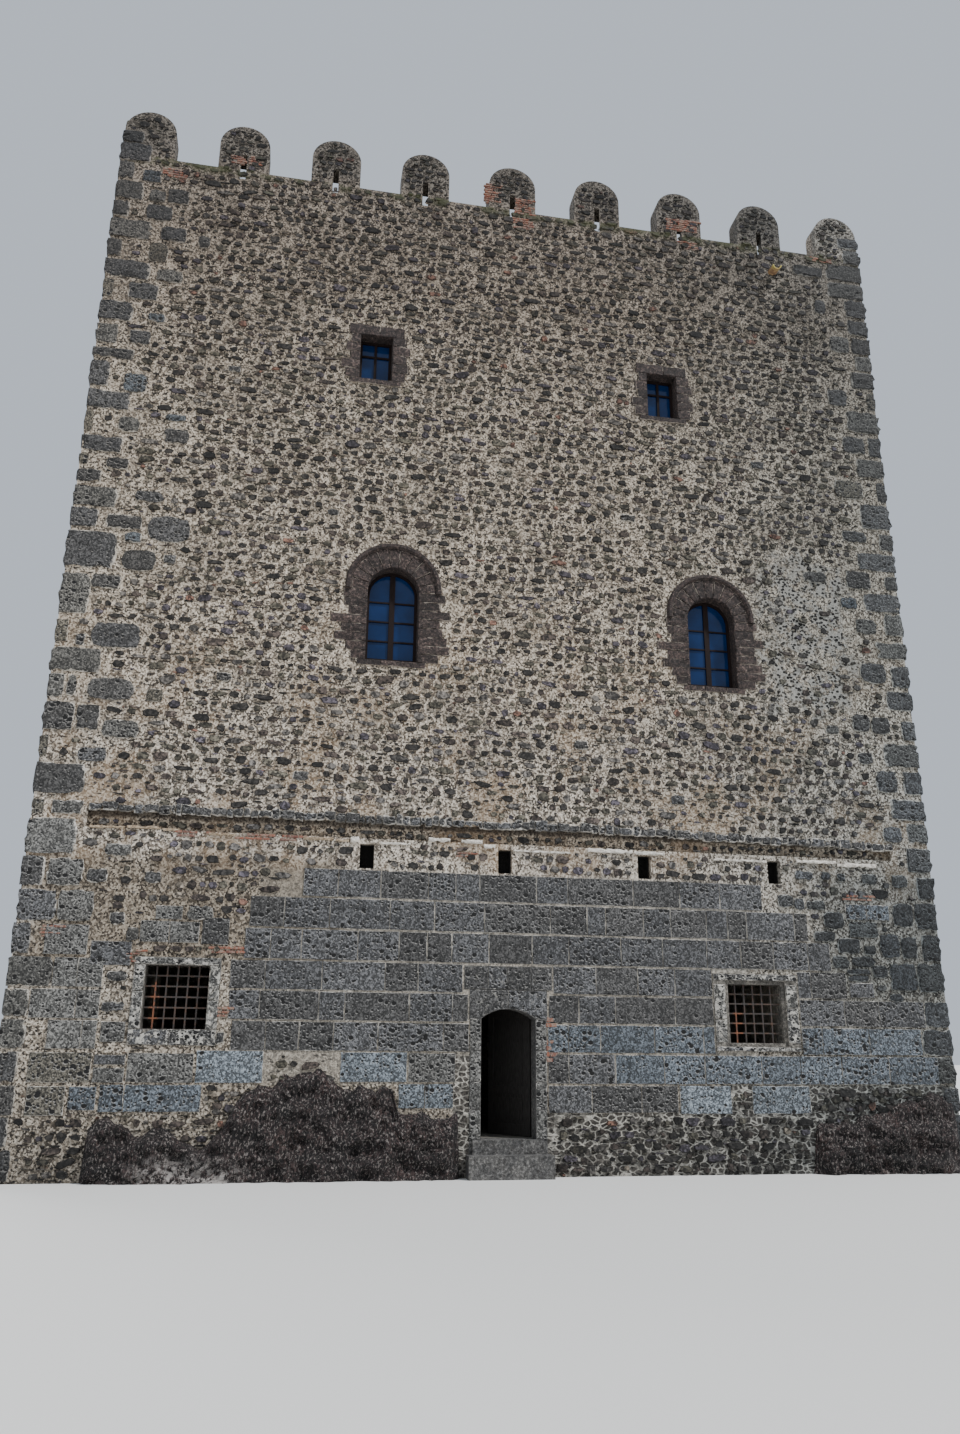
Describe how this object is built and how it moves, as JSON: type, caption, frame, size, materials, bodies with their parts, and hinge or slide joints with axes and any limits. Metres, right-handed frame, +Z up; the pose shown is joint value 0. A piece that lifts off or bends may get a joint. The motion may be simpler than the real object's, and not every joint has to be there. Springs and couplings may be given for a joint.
{
  "type": "castle keep, full size",
  "caption": "Hollow stone keep with round-headed merlons, arched, square and barred windows and a panelled door that swings inward.",
  "frame": {"origin": "centre of the wall faces' plan on the ground", "axes": "+Z up, the entrance front faces -Y, +X to the right when facing the entrance"},
  "size_m": [17.09, 8.88, 21.363],
  "materials": {
    "rubble_masonry": "rough",
    "dressed_stone": "rough",
    "quoin_stone": "rough",
    "floor_stone": "rough",
    "bedrock": "rough",
    "window_wood": "satin",
    "door_wood": "satin",
    "floor_boards": "matte",
    "window_glass": "gloss",
    "wrought_iron": "rusted",
    "terracotta": "matte"
  },
  "bodies": {
    "keep": {"front_ground_wall_left": "rubble_masonry", "front_ground_wall_right": "rubble_masonry", "front_wall_over_door": "rubble_masonry", "front_first_storey_wall": "rubble_masonry", "front_second_storey_wall": "rubble_masonry", "back_ground_wall": "rubble_masonry", "back_first_storey_wall": "rubble_masonry", "back_second_storey_wall": "rubble_masonry", "left_ground_wall": "rubble_masonry", "left_first_storey_wall": "rubble_masonry", "left_second_storey_wall": "rubble_masonry", "right_ground_wall": "rubble_masonry", "right_first_storey_wall": "rubble_masonry", "right_second_storey_wall": "rubble_masonry", "front_parapet": "rubble_masonry", "back_parapet": "rubble_masonry", "side_parapets": "rubble_masonry", "front_merlons": "rubble_masonry", "back_merlons": "rubble_masonry", "side_merlons": "rubble_masonry", "corner_merlons": "rubble_masonry", "corner_quoins": "quoin_stone", "ground_floor": "floor_stone", "first_floor": "floor_boards", "second_floor": "floor_boards", "roof_terrace": "floor_stone", "arched_window_surrounds": "dressed_stone", "square_window_surrounds": "dressed_stone", "barred_window_frames": "dressed_stone", "arched_window_casements": "window_wood", "square_window_casements": "window_wood", "arched_window_glass": "window_glass", "square_window_glass": "window_glass", "window_grilles": "wrought_iron", "door_lintel": "dressed_stone", "door_jambs": "dressed_stone", "door_sill": "quoin_stone", "door_step": "quoin_stone", "door_pintles": "wrought_iron", "rock_outcrops": "bedrock", "roof_spout": "terracotta"},
    "door": {"door_leaf": "door_wood", "door_straps": "wrought_iron"}
  },
  "joints": [
    {"name": "door_swing", "type": "hinge", "parent": "keep", "child": "door", "pos_m": [0.4648, -3.7877, 0.94], "axis": [0, 0, -1], "range_deg": [-57, 33]}
  ]
}
